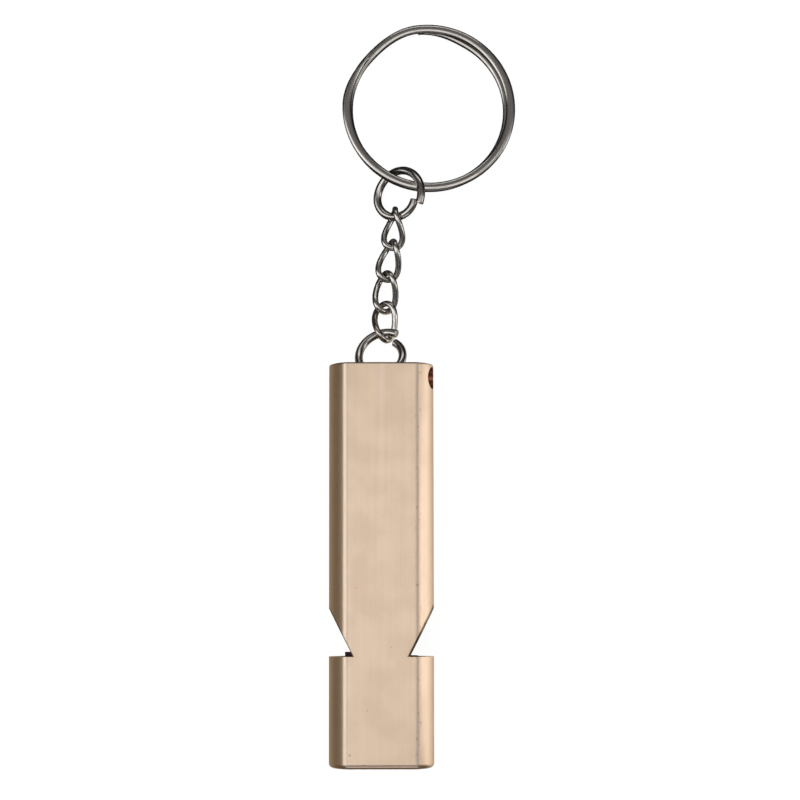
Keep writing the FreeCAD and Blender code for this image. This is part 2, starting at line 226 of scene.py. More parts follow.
class Effects:
    """The shader groups that several finishes share, each built once."""

    fleck_fineness = 7.3
    fleck_limits: Span = (0.60, 0.70)
    scratch_stretch = (0.31, 0.16, 0.31)
    scratch_limits: Span = (0.68, 0.73)

    def __init__(self) -> None:
        """Build both groups."""
        self.tone_tree = self.tone_group()
        self.grain_tree = self.grain_group()

    def tone_group(self) -> bpy.types.NodeTree:
        """Make the group of soft, cloudy differences in tone that every metal here has.

        Returns:
            A group with a Vector and a Scale, which puts out a Tone from 0 to 1 and a Fleck mask.
        """
        graph, into, out = new_group("metal_tone", {"Scale": 300.0}, ("Tone", "Fleck"))
        place, scale = into.outputs["Vector"], into.outputs["Scale"]
        clouds = graph.add("ShaderNodeTexNoise", {"Vector": place, "Scale": scale, "Detail": 4.0,
                                                  "Roughness": 0.55})
        fine = graph.add("ShaderNodeTexNoise", {"Vector": place, "Detail": 2.0,
                                                "Scale": graph.times(scale, self.fleck_fineness)})
        graph.link(clouds.outputs["Fac"], out.inputs["Tone"])
        graph.link(graph.ramp(fine.outputs["Fac"], self.fleck_limits), out.inputs["Fleck"])
        return graph.tree

    def grain_group(self) -> bpy.types.NodeTree:
        """Make the group of fine lines that drawing, extruding or brushing leaves along a metal piece.

        Returns:
            A group with a Vector, a Fineness across the lines and a Stretch along them, which puts out Lines
            from 0 to 1 and a sparse Scratch mask.
        """
        graph, into, out = new_group("drawn_grain", {"Fineness": 9000.0, "Stretch": 60.0},
                                     ("Lines", "Scratch"))
        across = into.outputs["Fineness"]
        along = graph.math("DIVIDE", across, into.outputs["Stretch"])
        scale = graph.add("ShaderNodeCombineXYZ", {"X": across, "Y": along, "Z": across})
        stretched = graph.vector("MULTIPLY", into.outputs["Vector"], scale.outputs[0])
        lines = graph.add("ShaderNodeTexNoise", {"Vector": stretched.outputs[0], "Scale": 1.0, "Detail": 3.0,
                                                 "Roughness": 0.6})
        coarse = graph.vector("MULTIPLY", stretched.outputs[0], self.scratch_stretch)
        marks = graph.add("ShaderNodeTexNoise", {"Vector": coarse.outputs[0], "Scale": 1.0, "Detail": 1.0})
        graph.link(lines.outputs["Fac"], out.inputs["Lines"])
        graph.link(graph.ramp(marks.outputs["Fac"], self.scratch_limits), out.inputs["Scratch"])
        return graph.tree

    def tone(self, graph: Graph, place: bpy.types.NodeSocket, scale: float) -> bpy.types.Node:
        """Place the cloudy tones in a material.

        Args:
            graph: The material's graph.
            place: The position on the piece.
            scale: How fine the clouds are.

        Returns:
            The group node.
        """
        return graph.add("ShaderNodeGroup", {"Vector": place, "Scale": scale}, node_tree=self.tone_tree)

    def grain(self, graph: Graph, place: bpy.types.NodeSocket, fineness: float,
              stretch: float) -> bpy.types.Node:
        """Place the drawn lines in a material.

        Args:
            graph: The material's graph.
            place: The position on the piece, with the lines along its Y.
            fineness: How fine the lines are across.
            stretch: How many times longer than wide they are.

        Returns:
            The group node.
        """
        return graph.add("ShaderNodeGroup", {"Vector": place, "Fineness": fineness, "Stretch": stretch},
                         node_tree=self.grain_tree)


def new_material(name: str) -> tuple[bpy.types.Material, Graph, bpy.types.Node]:
    """Make a material that holds only a Principled shader.

    Args:
        name: The material's name.

    Returns:
        The material, its graph and its Principled shader.
    """
    material = bpy.data.materials.new(name)
    material.use_nodes = True
    return material, Graph(material.node_tree), material.node_tree.nodes["Principled BSDF"]


@dataclass(frozen=True)
class ChampagneAnodising:
    """Satin champagne anodising on the extruded body, with pale worn edges and small marks, and painted shade
    in the ring hole, along the notch ramps and the tail's rim, and in specks on the right crease.

    Lengths and spans across the surface are in millimetres.
    """

    colour: Colour = (0.82, 0.632, 0.48, 1.0)
    deep_colour: Colour = (0.745, 0.56, 0.41, 1.0)
    bare_colour: Colour = (0.93, 0.86, 0.77, 1.0)
    mark_and_crease_shade_colour: Colour = (0.36, 0.22, 0.14, 1.0)
    painted_hole_shade_colour: Colour = (0.34, 0.12, 0.07, 1.0)
    painted_edge_shade_colour: Colour = (0.07, 0.042, 0.028, 1.0)
    roughness: float = 0.31
    cloud_roughness: float = 0.06
    crease_roughness: float = 0.08
    cloud_scale: float = 260.0
    cloud_limits: Span = (0.35, 0.65)
    cloud_share: float = 0.6
    line_fineness: float = 3400.0
    line_stretch: float = 70.0
    line_limits: Span = (0.35, 0.7)
    line_share: float = 0.3
    scratch_share: float = 0.16
    relief_strength: float = 0.07
    relief_depth: float = 0.02
    half_flat: float = 4.15
    half_length: float = 23.0
    wear_limits: Span = (0.42, 0.62)
    wear_share: float = 0.35
    least_wear: float = 0.1
    worn_crease: Span = (0.22, 0.03)
    worn_end: Span = (0.22, 0.04)
    end_share: float = 0.5
    crease_band: Span = (0.5, 0.15)
    speck_and_shade_share: float = 0.5
    right_side: Span = (-1.0, 1.0)
    hole_centre: tuple[float, float] = (21.4, 5.3)
    hole_radius: float = 1.25
    hole_edge: Span = (0.05, 0.01)
    hole_from: Span = (-2.75, -2.65)
    notch_tip: tuple[float, float] = (3.2, -10.4)
    notch_slope: tuple[float, float] = (0.891, -0.454)
    notch_line: float = 0.13
    notch_line_more_on_right: float = 0.22
    notch_line_limits: Span = (-1.0, -0.5)
    notch_above: Span = (0.0, 0.02)
    tail_line: Span = (0.2, 0.12)
    tail_share: float = 0.6
    edge_shade_variation: float = 0.2
    least_edge_shade: float = 0.8
    front: float = 8.0
    nicks: tuple[tuple[float, float, float], ...] = (
        (-2.9, -2.6, 0.09), (1.1, -9.3, 0.08), (-1.6, -16.4, 0.10), (-3.6, -21.4, 0.16), (-2.0, -22.5, 0.12))
    nick_edge: Span = (1.3, 0.4)
    nick_share: float = 0.5
    nick_depth: float = 3.0

    def build(self, effects: Effects) -> bpy.types.Material:
        """Make the material.

        Args:
            effects: The shared shader groups.

        Returns:
            The finished material.
        """
        material, graph, shader = new_material("champagne_anodising")
        place = graph.add("ShaderNodeTexCoord").outputs["Object"]
        across, along, _ = graph.axes(place)
        tone = effects.tone(graph, place, self.cloud_scale)
        grain = effects.grain(graph, place, self.line_fineness, self.line_stretch)
        crease = graph.math("SUBTRACT", graph.math("ABSOLUTE", across), self.half_flat * MM)
        crease = graph.math("ABSOLUTE", crease)
        near_crease = graph.zone(crease, self.crease_band)
        worn = graph.ramp(tone.outputs["Tone"], self.wear_limits)
        marks = self.marks(graph, place)
        line = graph.ramp(grain.outputs["Lines"], self.line_limits)
        cloud = graph.times(graph.ramp(tone.outputs["Tone"], self.cloud_limits), self.cloud_share)
        deep = graph.math("MULTIPLY_ADD", line, self.line_share, cloud)
        base = graph.mix(deep, self.colour, self.deep_colour)
        end = graph.math("SUBTRACT", self.half_length * MM, graph.math("ABSOLUTE", along))
        edge = graph.math("MAXIMUM", graph.zone(crease, self.worn_crease),
                          graph.times(graph.zone(end, self.worn_end), self.end_share))
        wear = graph.math("MULTIPLY_ADD", worn, self.wear_share, self.least_wear)
        base = graph.mix(graph.times(edge, wear), base, self.bare_colour)
        # partly painted shade: dark specks on the right crease only, which stand for wear and also paint that
        # crease's darker shade line
        specks_and_shade = graph.times(graph.times(near_crease, graph.zone(across, self.right_side)),
                             graph.times(tone.outputs["Fleck"], self.speck_and_shade_share))
        base = graph.mix(specks_and_shade, base, self.mark_and_crease_shade_colour)
        base = graph.mix(graph.times(grain.outputs["Scratch"], self.scratch_share), base, self.bare_colour)
        base = graph.mix(marks, base, self.mark_and_crease_shade_colour)
        # painted shade: the ring hole's wall is coloured dark brown, where shade falls inside the hole
        base = graph.mix(self.painted_hole_shade(graph, place, across), base, self.painted_hole_shade_colour)
        # painted shade: a dark line along each notch ramp and the tail's rim, wider on the right, where these
        # edges fall into shade
        cut = graph.times(self.painted_edge_shade(graph, across, along),
                          graph.math("MULTIPLY_ADD", worn, self.edge_shade_variation, self.least_edge_shade))
        graph.link(graph.mix(cut, base, self.painted_edge_shade_colour), shader.inputs["Base Color"])
        shader.inputs["Metallic"].default_value = 1.0
        rough = graph.math("MULTIPLY_ADD", tone.outputs["Tone"], self.cloud_roughness, self.roughness)
        rough = graph.math("MULTIPLY_ADD", near_crease, self.crease_roughness, rough)
        graph.link(rough, shader.inputs["Roughness"])
        relief = graph.math("SUBTRACT", grain.outputs["Lines"], graph.times(marks, self.nick_depth))
        graph.link(graph.bump(relief, self.relief_strength, self.relief_depth), shader.inputs["Normal"])
        return material

    def painted_hole_shade(self, graph: Graph, place: bpy.types.NodeSocket,
                across: bpy.types.NodeSocket) -> bpy.types.NodeSocket:
        """Make a mask of the painted shade on the ring hole's wall.

        Args:
            graph: The material's graph.
            place: The position on the piece.
            across: The position's X.

        Returns:
            A mask that is 1 inside the hole.
        """
        flat = graph.vector("MULTIPLY", place, (0.0, 1.0, 1.0))
        centre = (0.0, self.hole_centre[0] * MM, self.hole_centre[1] * MM)
        away = graph.vector("DISTANCE", flat.outputs[0], centre)
        outer, inner = (self.hole_radius + edge for edge in self.hole_edge)
        return graph.times(graph.zone(away.outputs["Value"], (outer, inner)),
                           graph.zone(across, self.hole_from))

    def painted_edge_shade(self, graph: Graph, across: bpy.types.NodeSocket,
                  along: bpy.types.NodeSocket) -> bpy.types.NodeSocket:
        """Make a mask of the painted shade along edges: the tail's rim and each notch's ramp, wider on the
        right.

        Args:
            graph: The material's graph.
            across: The position's X.
            along: The position's Y.

        Returns:
            A mask that is 1 at the edge.
        """
        from_tip = graph.math("SUBTRACT", graph.math("ABSOLUTE", across), self.notch_tip[0] * MM)
        above_tip = graph.math("SUBTRACT", along, self.notch_tip[1] * MM)
        beyond = graph.math("MULTIPLY_ADD", from_tip, self.notch_slope[0],
                            graph.times(above_tip, self.notch_slope[1]))
        width = graph.math("MULTIPLY_ADD", graph.zone(across, self.right_side),
                           self.notch_line_more_on_right * MM, self.notch_line * MM)
        near = graph.ramp(graph.math("DIVIDE", beyond, width), self.notch_line_limits)
        notch = graph.times(near, graph.zone(above_tip, self.notch_above))
        tail = graph.zone(graph.math("SUBTRACT", self.half_length * MM, along), self.tail_line)
        return graph.math("MAXIMUM", notch, graph.times(tail, self.tail_share))

    def marks(self, graph: Graph, place: bpy.types.NodeSocket) -> bpy.types.NodeSocket:
        """Make a mask of the few small nicks that the front shows.

        Args:
            graph: The material's graph.
            place: The position on the piece.

        Returns:
            A mask that is 1 in the nicks.
        """
        total: object = 0.0
        for x, y, radius in self.nicks:
            away = graph.vector("DISTANCE", place, (x * MM, y * MM, self.front * MM))
            edge = (radius * self.nick_edge[0], radius * self.nick_edge[1])
            total = graph.math("MAXIMUM", graph.zone(away.outputs["Value"], edge), total)
        return graph.times(total, self.nick_share)


@dataclass(frozen=True)
class BrightWire:
    """Nickel-plated wire: smooth and dark, with drawing lines along it and faint tarnish.

    A flat wire, whose girth is given in millimetres, gets painted shade on its two narrow sides, its inner
    and outer rims.
    """

    name: str
    colour: Colour = (0.52, 0.49, 0.465, 1.0)
    tarnish: Colour = (0.29, 0.26, 0.235, 1.0)
    roughness: float = 0.17
    cloud_scale: float = 900.0
    flat_girth: float = 0.0
    rim_shade_colour: Colour = (0.07, 0.062, 0.055, 1.0)
    rim_shade_limits: Span = (0.62, 0.93)
    rim_shade_share: float = 0.9
    dull_limits: Span = (0.45, 0.75)
    dull_share: float = 0.6
    dull_roughness: float = 0.12
    fleck_share: float = 0.4
    scratch_roughness: float = 0.1
    line_fineness: float = 16000.0
    line_stretch: float = 40.0
    line_strength: float = 0.05
    line_depth: float = 0.01

    def build(self, effects: Effects) -> bpy.types.Material:
        """Make the material. Its U runs along the wire and its V around it, both in metres.

        Args:
            effects: The shared shader groups.

        Returns:
            The finished material.
        """
        material, graph, shader = new_material(self.name)
        coordinates = graph.add("ShaderNodeTexCoord")
        along, around, _ = graph.axes(coordinates.outputs["UV"])
        turned = graph.add("ShaderNodeCombineXYZ", {"X": around, "Y": along})
        tone = effects.tone(graph, coordinates.outputs["Object"], self.cloud_scale)
        grain = effects.grain(graph, turned.outputs[0], self.line_fineness, self.line_stretch)
        dull = graph.ramp(tone.outputs["Tone"], self.dull_limits)
        base = graph.mix(graph.times(dull, self.dull_share), self.colour, self.tarnish)
        base = graph.mix(graph.times(tone.outputs["Fleck"], self.fleck_share), base, self.tarnish)
        # painted shade: the flat wire's inner and outer rims are coloured near-black, as they look when
        # reflecting dark surroundings
        if self.flat_girth:
            turn = graph.math("COSINE", graph.times(around, 2 * math.pi / (self.flat_girth * MM)))
            side = graph.ramp(graph.math("ABSOLUTE", turn), self.rim_shade_limits)
            base = graph.mix(graph.times(side, self.rim_shade_share), base, self.rim_shade_colour)
        graph.link(base, shader.inputs["Base Color"])
        shader.inputs["Metallic"].default_value = 1.0
        rough = graph.math("MULTIPLY_ADD", dull, self.dull_roughness, self.roughness)
        rough = graph.math("MULTIPLY_ADD", grain.outputs["Scratch"], self.scratch_roughness, rough)
        graph.link(rough, shader.inputs["Roughness"])
        normal = graph.bump(grain.outputs["Lines"], self.line_strength, self.line_depth)
        graph.link(normal, shader.inputs["Normal"])
        return material


@dataclass(frozen=True)
class InnerPiece:
    """Plain finish of the pieces inside the bores: near-black moulded plugs or turned metal stoppers."""

    name: str
    colour: Colour
    second_colour: Colour
    metallic: float
    roughness: float
    specular: float = 0.15
    tone_scale: float = 900.0
    fleck_roughness: float = 0.12
    grain_fineness: float = 5000.0
    grain_stretch: float = 1.0
    grain_strength: float = 0.15
    grain_depth: float = 0.02

    def build(self, effects: Effects) -> bpy.types.Material:
        """Make the material.

        Args:
            effects: The shared shader groups.

        Returns:
            The finished material.
        """
        material, graph, shader = new_material(self.name)
        place = graph.add("ShaderNodeTexCoord").outputs["Object"]
        tone = effects.tone(graph, place, self.tone_scale)
        grain = effects.grain(graph, place, self.grain_fineness, self.grain_stretch)
        base = graph.mix(tone.outputs["Tone"], self.colour, self.second_colour)
        graph.link(base, shader.inputs["Base Color"])
        shader.inputs["Metallic"].default_value = self.metallic
        shader.inputs["Specular IOR Level"].default_value = self.specular
        rough = graph.math("MULTIPLY_ADD", tone.outputs["Fleck"], self.fleck_roughness, self.roughness)
        graph.link(rough, shader.inputs["Roughness"])
        normal = graph.bump(grain.outputs["Lines"], self.grain_strength, self.grain_depth)
        graph.link(normal, shader.inputs["Normal"])
        return material


# Mesh building


# edges sharper than these keep a hard line
SHARP_WIRE = math.radians(50)
SHARP_BODY = math.radians(28)
# where a small bevel is rounded off, as a share of its size
BEVEL_STEP = 0.35


def ease(value: float) -> float:
    """Return a value held between 0 and 1, and eased at both ends.

    Args:
        value: The value.

    Returns:
        The eased value.
    """
    held = min(max(value, 0), 1)
    return held * held * (3 - 2 * held)


def as_object(name: str, mesh: bmesh.types.BMesh, solid: bool = True) -> bpy.types.Object:
    """Turn a bmesh into a linked object.

    Args:
        name: The object's name.
        mesh: The bmesh, which is freed.
        solid: Whether its faces close a solid and are turned outwards.

    Returns:
        The object.
    """
    if solid:
        bmesh.ops.recalc_face_normals(mesh, faces=mesh.faces)
    data = bpy.data.meshes.new(name)
    mesh.to_mesh(data)
    mesh.free()
    made = bpy.data.objects.new(name, data)
    bpy.context.scene.collection.objects.link(made)
    return made


def circle_section(radius: float, sides: int) -> list[tuple[float, float]]:
    """Return a round wire's section as (outward, across) pairs.

    Args:
        radius: The wire's radius in millimetres.
        sides: How many points the section has.

    Returns:
        The section's points.
    """
    return [(radius * math.cos(2 * math.pi * k / sides), radius * math.sin(2 * math.pi * k / sides))
            for k in range(sides)]


def domed_section(width: float, thickness: float, fullness: float, sides: int) -> list[tuple[float, float]]:
    """Return a rolled wire's section, rounder than a rectangle and fuller than an ellipse.

    Args:
        width: The size outwards from the ring's centre, in millimetres.
        thickness: The size across the ring's plane, in millimetres.
        fullness: The power of the curve: 2 is an ellipse, and more is squarer.
        sides: How many points the section has.

    Returns:
        The section's points, in the order that circle_section has.
    """
    points = []
    for out, across in circle_section(1.0, sides):
        points.append((math.copysign(abs(out) ** (2 / fullness), out) * width / 2,
                       math.copysign(abs(across) ** (2 / fullness), across) * thickness / 2))
    return points


def girth_of(section: list[tuple[float, float]]) -> float:
    """Return the way round a section.

    Args:
        section: The section's points.

    Returns:
        The length of its outline.
    """
    return sum(math.dist(here, following) for here, following in zip(section, section[1:] + section[:1]))


@dataclass
class Station:
    """One place along a wire's centre line, with the directions that its section is drawn in.

    Shrink is how much of the wire's radius is bevelled away there.
    """

    centre: Vector
    outward: Vector
    across: Vector
    shrink: float = 0.0


def skin_wire(name: str, stations: list[Station], section: list[tuple[float, float]], closed: bool,
              place: Matrix) -> bpy.types.Object:
    """Skin a wire's sections into a smooth mesh with UVs that run along and around it.

    Args:
        name: The object's name.
        stations: The centre line's stations, in millimetres.
        section: The section's points.
        closed: Whether the wire joins up with itself.
        place: The piece's place in the whistle's frame, in millimetres.

    Returns:
        The new object, with its place in its mesh.
    """
    mesh = bmesh.new()
    uv_layer = mesh.loops.layers.uv.new("wire")
    widest = max(math.hypot(*point) for point in section)
    rings = []
    lengths = [0.0]
    for before, after in zip(stations, stations[1:] + stations[:1]):
        lengths.append(lengths[-1] + (after.centre - before.centre).length)
    girth = girth_of(section)
    for station in stations:
        keep = 1 - station.shrink / widest
        ring = [mesh.verts.new((place @ (station.centre + station.outward * out * keep
                                         + station.across * across * keep)) * MM) for out, across in section]
        rings.append(ring)
    count = len(section)
    spans = len(rings) if closed else len(rings) - 1
    for span in range(spans):
        first, second = rings[span], rings[(span + 1) % len(rings)]
        for side in range(count):
            face = mesh.faces.new((first[side], second[side], second[(side + 1) % count],
                                   first[(side + 1) % count]))
            face.smooth = True
            near, far = lengths[span] * MM, lengths[span + 1] * MM
            low, high = side * girth / count * MM, (side + 1) * girth / count * MM
            for loop, spot in zip(face.loops, ((near, low), (far, low), (far, high), (near, high))):
                loop[uv_layer].uv = spot
    if not closed:
        for ring in (rings[0], rings[-1][::-1]):
            face = mesh.faces.new(ring)
            for loop in face.loops:
                loop[uv_layer].uv = (loop.vert.co.x, loop.vert.co.y)
    made = as_object(name, mesh)
    made.data.set_sharp_from_angle(angle=SHARP_WIRE)
    return made


def with_cut_ends(stations: list[Station], bevel: float) -> list[Station]:
    """Add a small bevel at each end of an open wire, as its cutter leaves.

    Args:
        stations: The open wire's stations.
        bevel: The bevel's size in millimetres.

    Returns:
        The stations with two more at each end.
    """
    def stepped(inner: Station, outer: Station) -> list[Station]:
        """Return the bevelled stations of one end.

        Args:
            inner: The station before the last.
            outer: The last station.

        Returns:
            Three stations that take the end's place.
        """
        along = (outer.centre - inner.centre).normalized()
        steps = ((bevel, 0.0), (bevel * BEVEL_STEP, bevel * BEVEL_STEP), (0.0, bevel))
        return [Station(outer.centre - along * back, outer.outward, outer.across, shrink)
                for back, shrink in steps]

    start = stepped(stations[1], stations[0])[::-1]
    return start + stations[1:-1] + stepped(stations[-2], stations[-1])


@dataclass(frozen=True)
class Pose:
    """Where a wire piece lies: its centre in millimetres and its turn as a quaternion (w, x, y, z)."""

    centre: tuple[float, float, float]
    turn: tuple[float, float, float, float]

    def matrix(self) -> Matrix:
        """Return the place as a matrix.

        Returns:
            The matrix, in millimetres.
        """
        return Matrix.Translation(self.centre) @ Quaternion(self.turn).to_matrix().to_4x4()


def dress(made: bpy.types.Object, node: str, body: str, material: bpy.types.Material) -> None:
    """Give a piece its material, let it stand for its CAD node and let it ride on its body.

    Args:
        made: The piece.
        node: The CAD node that it stands for.
        body: The body that it moves with.
        material: The piece's finish.
    """
    made.data.materials.clear()
    made.data.materials.append(material)
    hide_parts(node)
    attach(made, body)
    LOG.info("%s: %d faces", made.name, len(made.data.polygons))


class RingEnd(Enum):
    """The two halves of an open ring: the first one is the wider, the second one the tighter."""

    FIRST = 1
    SECOND = -1


@dataclass
class WhistleBody:
    """The extruded two-bore body with its notches, cross hole and dressed ends."""

    length: float = 46.0
    width: float = 12.0
    thickness: float = 8.0
    flat_width: float = 8.3
    crease_radius: float = 0.85
    least_crease: float = 0.02
    arc_steps: int = 40
    crease_steps: int = 12
    mouth_rounding: float = 0.55
    mouth_steps: int = 8
    tail_bevel: float = 0.2
    tail_step: float = 0.3
    bore_diameter: float = 4.5
    bore_spacing: float = 5.3
    bore_bevel: float = 0.15
    mouth_bore_bevel: float = 0.06
    notch_from_mouth: float = 12.6
    notch_depth: float = 2.8
    notch_ramp: float = 5.5
    hole_diameter: float = 2.5
    hole_from_tail: float = 1.6
    hole_rise: float = 1.3
    hole_sides: int = 56
    bore_sides: int = 72
    cutter_margin: float = 1.0
    bore_margin: float = 0.5

    def outline(self, inset: float) -> list[tuple[float, float]]:
        """Return the section as (x, z) points, set in from the full one.

        Args:
            inset: How far inside the full section this one lies.

        Returns:
            The points, anticlockwise, in millimetres.
        """
        rise = (self.width - self.flat_width) / 2
        radius = ((self.thickness / 2) ** 2 + rise ** 2) / (2 * rise)
        centre = self.width / 2 - radius
        crease = max(self.crease_radius - inset, self.least_crease)
        height = self.thickness / 2 - inset - crease
        corner = centre + math.sqrt((radius - inset - crease) ** 2 - height ** 2)
        meet = math.atan2(height, corner - centre)
        right = []
        for step in range(self.crease_steps):
            turn = -math.pi / 2 + (math.pi / 2 - meet) * step / self.crease_steps
            right.append((corner + crease * math.cos(turn), -height + crease * math.sin(turn)))
        for step in range(self.arc_steps + 1):
            turn = -meet + 2 * meet * step / self.arc_steps
            right.append((centre + (radius - inset) * math.cos(turn), (radius - inset) * math.sin(turn)))
        for step in range(1, self.crease_steps + 1):
            turn = meet + (math.pi / 2 - meet) * step / self.crease_steps
            right.append((corner + crease * math.cos(turn), height + crease * math.sin(turn)))
        both = right + [(-x, z) for x, z in reversed(right)]
        return [(x, z + self.thickness / 2) for x, z in both]

    def blank(self) -> bpy.types.Object:
        """Make the extruded bar with its rounded mouth end and bevelled tail end.

        Returns:
            The bar.
        """
        half = self.length / 2
        levels = []
        for step in range(self.mouth_steps + 1):
            turn = math.pi / 2 * step / self.mouth_steps
            levels.append((-half + self.mouth_rounding * (1 - math.cos(turn)),
                           self.mouth_rounding * (1 - math.sin(turn))))
        step = self.tail_bevel * self.tail_step
        levels += [(half - self.tail_bevel, 0.0), (half - step, step), (half, self.tail_bevel)]
        return self.loft("bar", levels)

    def loft(self, name: str, levels: list[tuple[float, float]]) -> bpy.types.Object:
        """Skin the body's outline through several levels along Y.

        Args:
            name: The object's name.
            levels: Pairs of a place along Y and an inset.

        Returns:
            The closed mesh as an object.
        """
        mesh = bmesh.new()
        rings = [[mesh.verts.new((x * MM, y * MM, z * MM)) for x, z in self.outline(inset)]
                 for y, inset in levels]
        return self.closed(name, mesh, rings)

    @staticmethod
    def closed(name: str, mesh: bmesh.types.BMesh, rings: list[list[bmesh.types.BMVert]]) -> bpy.types.Object:
        """Join rings of points by faces and cap both ends.

        Args:
            name: The object's name.
            mesh: The bmesh that the points are in.
            rings: The rings, each with as many points.

        Returns:
            The closed mesh as an object.
        """
        count = len(rings[0])
        for first, second in zip(rings, rings[1:]):
            for side in range(count):
                following = (side + 1) % count
                mesh.faces.new((first[side], first[following], second[following], second[side]))
        mesh.faces.new(rings[0][::-1])
        mesh.faces.new(rings[-1])
        return as_object(name, mesh)

    def turned_cutter(self, name: str, profile: list[tuple[float, float]], place: Matrix,
                      sides: int) -> bpy.types.Object:
        """Make a round cutter from a profile of places along its axis and radii.

        Args:
            name: The cutter's name.
            profile: Pairs of a place along the cutter's own Z and a radius.
            place: Where the cutter goes, in millimetres.
            sides: How many sides it has.

        Returns:
            The cutter.
        """
        mesh = bmesh.new()
        rings = [[mesh.verts.new((place @ Vector((x, y, along))) * MM)
                  for x, y in circle_section(radius, sides)] for along, radius in profile]
        return self.closed(name, mesh, rings)

    def bore_cutter(self, side: int) -> bpy.types.Object:
        """Make the cutter of one bore, flared at both ends for its bevels.

        Args:
            side: -1 for the left bore, 1 for the right one.

        Returns:
            The cutter.
        """
        half = self.length / 2
        radius = self.bore_diameter / 2
        beyond = self.bore_margin
        profile = [(-half - beyond, radius + self.mouth_bore_bevel + beyond),
                   (-half + self.mouth_bore_bevel, radius),
                   (half - self.bore_bevel, radius), (half + beyond, radius + self.bore_bevel + beyond)]
        place = Matrix.Translation((side * self.bore_spacing / 2, 0, self.thickness / 2)) \
            @ Matrix.Rotation(-math.pi / 2, 4, "X")
        return self.turned_cutter(f"bore_{side}", profile, place, self.bore_sides)

    def hole_cutter(self) -> bpy.types.Object:
        """Make the cutter of the ring's hole, which starts in the left bore and runs out of the right side.

        Returns:
            The cutter.
        """
        centre = (0, self.length / 2 - self.hole_from_tail, self.thickness / 2 + self.hole_rise)
        place = Matrix.Translation(centre) @ Matrix.Rotation(math.pi / 2, 4, "Y")
        radius = self.hole_diameter / 2
        profile = [(-self.bore_spacing / 2, radius), (self.width / 2 + self.cutter_margin, radius)]
        return self.turned_cutter("ring_hole", profile, place, self.hole_sides)

    def notch_cutter(self, side: int) -> bpy.types.Object:
        """Make the wedge that cuts one notch.

        Args:
            side: -1 for the left notch, 1 for the right one.

        Returns:
            The cutter.
        """
        wall = self.notch_from_mouth - self.length / 2
        tip = self.width / 2 - self.notch_depth
        out = self.width / 2 + self.cutter_margin
        ramp = wall + self.notch_ramp * (out - tip) / self.notch_depth
        mesh = bmesh.new()
        corners = ((tip, wall), (out, wall), (out, ramp))
        low, high = ([mesh.verts.new((side * x * MM, y * MM, z * MM)) for x, y in corners]
                     for z in (-self.cutter_margin, self.thickness + self.cutter_margin))
        mesh.faces.new(low)
        mesh.faces.new(high)
        for index in range(3):
            following = (index + 1) % 3
            mesh.faces.new((low[index], low[following], high[following], high[index]))
        return as_object(f"notch_{side}", mesh)

    def build(self, material: bpy.types.Material) -> bpy.types.Object:
        """Cut the body from its bar and dress it.

        Args:
            material: The body's finish.

        Returns:
            The finished body.
        """
        bar = self.blank()
        cutters = [self.bore_cutter(-1), self.bore_cutter(1), self.notch_cutter(-1), self.notch_cutter(1),
                   self.hole_cutter()]
        for cutter in cutters:
            cut = bar.modifiers.new(cutter.name, "BOOLEAN")
            cut.operation = "DIFFERENCE"
            cut.solver = "EXACT"
            cut.object = cutter
        data = bpy.data.meshes.new_from_object(bar.evaluated_get(bpy.context.evaluated_depsgraph_get()))
        for spare in [bar, *cutters]:
            spare_data = spare.data
            bpy.data.objects.remove(spare)
            bpy.data.meshes.remove(spare_data)
        data.name = "whistle_shell"
        made = bpy.data.objects.new("whistle_shell", data)
        bpy.context.scene.collection.objects.link(made)
        for polygon in data.polygons:
            polygon.use_smooth = True
        data.set_sharp_from_angle(angle=SHARP_BODY)
        # the large faces keep their own normals, so that the flats stay flat up to their creases
        weighted = made.modifiers.new("flat_faces", "WEIGHTED_NORMAL")
        weighted.keep_sharp = True
        made.data = bpy.data.meshes.new_from_object(made.evaluated_get(bpy.context.evaluated_depsgraph_get()))
        made.modifiers.clear()
        bpy.data.meshes.remove(data)
        dress(made, "whistle_body", "whistle", material)
        return made


@dataclass
class JumpRing:
    """An open ring of round wire whose two ends have been twisted and bent past each other.

    Opening is how far each half is turned out of the ring's plane, and ends is where each half stops, both in
    degrees. Spread is how much wider the first half is than the mean, in millimetres.
    """

    name: str
    node: str
    pose: Pose
    opening: float
    spread: float
    ends: tuple[float, float]
    outer: float = 6.42
    wire: float = 0.94
    steps: int = 64
    sides: int = 28
    cut_bevel: float = 0.05

    def station(self, half: RingEnd, turn: float) -> Station:
        """Return the wire's station in one half of the ring.

        Args:
            half: Which half it is in.
            turn: Its angle from the middle of the gap, in degrees, which grows towards the far side.

        Returns:
            The station.
        """
        mean = (self.outer - self.wire) / 2
        radius = mean + half.value * self.spread
        angle = math.radians(half.value * turn)
        flat = Vector((math.cos(angle), math.sin(angle), 0))
        opened = Matrix.Rotation(math.radians(half.value * self.opening), 3, "Y")
        centre = opened @ (flat * radius + Vector((radius, 0, 0))) - Vector((mean, 0, 0))
        return Station(centre, opened @ flat, opened @ Vector((0, 0, 1)))

    def build(self, material: bpy.types.Material) -> bpy.types.Object:
        """Skin the ring and dress it.

        Args:
            material: The wire's finish.

        Returns:
            The finished ring.
        """
        stations = []
        for half, end in zip(RingEnd, self.ends):
            side = [self.station(half, end + (180 - end) * k / self.steps) for k in range(self.steps + 1)]
            stations += side if half is RingEnd.FIRST else side[-2::-1]
        made = skin_wire(self.name, with_cut_ends(stations, self.cut_bevel),
                         circle_section(self.wire / 2, self.sides), False, self.pose.matrix())
        dress(made, self.node, self.node, material)
        return made


